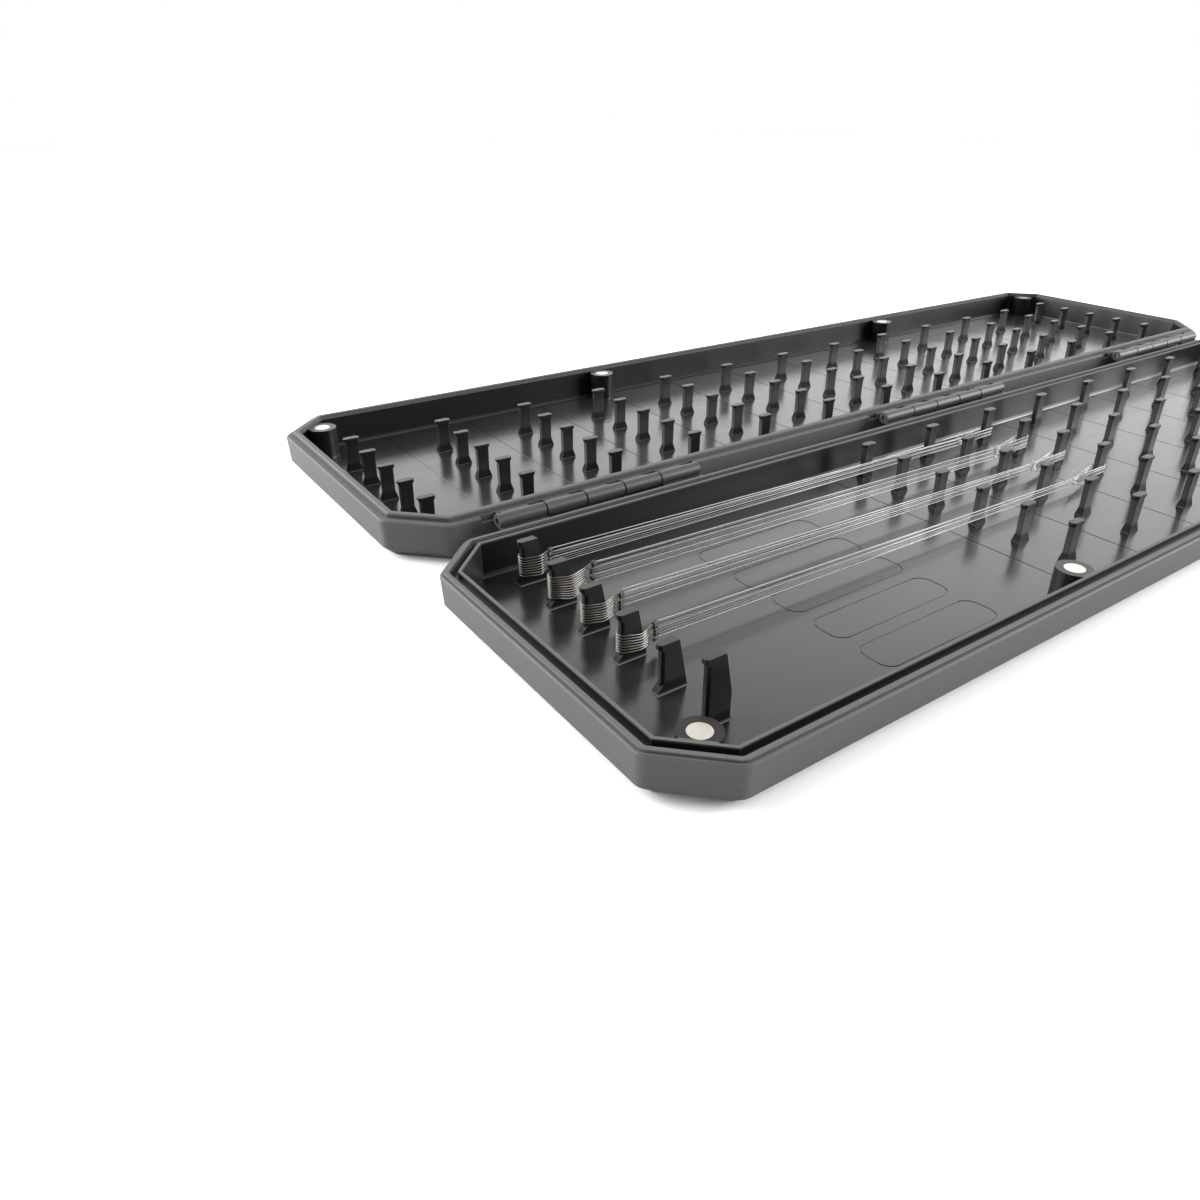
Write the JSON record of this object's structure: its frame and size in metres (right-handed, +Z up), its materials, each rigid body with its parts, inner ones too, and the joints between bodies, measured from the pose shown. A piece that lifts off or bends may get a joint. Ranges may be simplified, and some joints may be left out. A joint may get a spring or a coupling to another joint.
{
  "type": "fishing rig box",
  "caption": "Slim tray box lying open on its hinges: fine hooks hang on blade posts and the loops of their lines go over rows of spool posts; magnets in the rims hold it shut.",
  "frame": {"origin": "on the table under the middle of the hinge line", "axes": "+X along the box away from the hook posts, +Y from the base to the open lid, +Z up"},
  "size_m": [0.333, 0.1758, 0.0143],
  "materials": {
    "tray_plastic": "satin moulded charcoal plastic, fine spark texture",
    "post_plastic": "satin moulded black plastic",
    "nickel_plate": "bright nickel plate",
    "pin_steel": "drawn steel wire",
    "hook_wire": "dark nickel plated wire",
    "clear_line": "clear nylon monofilament"
  },
  "bodies": {
    "base": {"base_tray": "tray_plastic", "hook_posts": "post_plastic", "base_post_row_1": "post_plastic", "base_post_row_2": "post_plastic", "base_post_row_3": "post_plastic", "base_post_row_4": "post_plastic", "base_post_row_5": "post_plastic", "base_post_row_6": "post_plastic", "base_post_row_7": "post_plastic", "base_post_row_8": "post_plastic", "base_post_row_9": "post_plastic", "base_magnet_1": "nickel_plate", "base_magnet_2": "nickel_plate", "base_magnet_3": "nickel_plate", "base_magnet_4": "nickel_plate", "hinge_pin_left": "pin_steel", "hinge_pin_middle": "pin_steel", "hinge_pin_right": "pin_steel", "rig_hooks_1": "hook_wire", "rig_hooks_2": "hook_wire", "rig_hooks_3": "hook_wire", "rig_hooks_4": "hook_wire", "rig_lines_1": "clear_line", "rig_lines_2": "clear_line", "rig_lines_3": "clear_line", "rig_lines_4": "clear_line"},
    "lid": {"lid_tray": "tray_plastic", "lid_post_row_1": "post_plastic", "lid_post_row_2": "post_plastic", "lid_post_row_3": "post_plastic", "lid_post_row_4": "post_plastic", "lid_post_row_5": "post_plastic", "lid_post_row_6": "post_plastic", "lid_post_row_7": "post_plastic", "lid_post_row_8": "post_plastic", "lid_post_row_9": "post_plastic", "lid_post_row_10": "post_plastic", "lid_post_row_11": "post_plastic", "lid_post_row_12": "post_plastic", "lid_post_row_13": "post_plastic", "lid_magnet_1": "nickel_plate", "lid_magnet_2": "nickel_plate", "lid_magnet_3": "nickel_plate", "lid_magnet_4": "nickel_plate"}
  },
  "joints": [
    {"name": "lid_hinge", "type": "hinge", "parent": "base", "child": "lid", "pos_m": [0, 0, 0.00905], "axis": [1, 0, 0], "range_deg": [0, 180]}
  ]
}
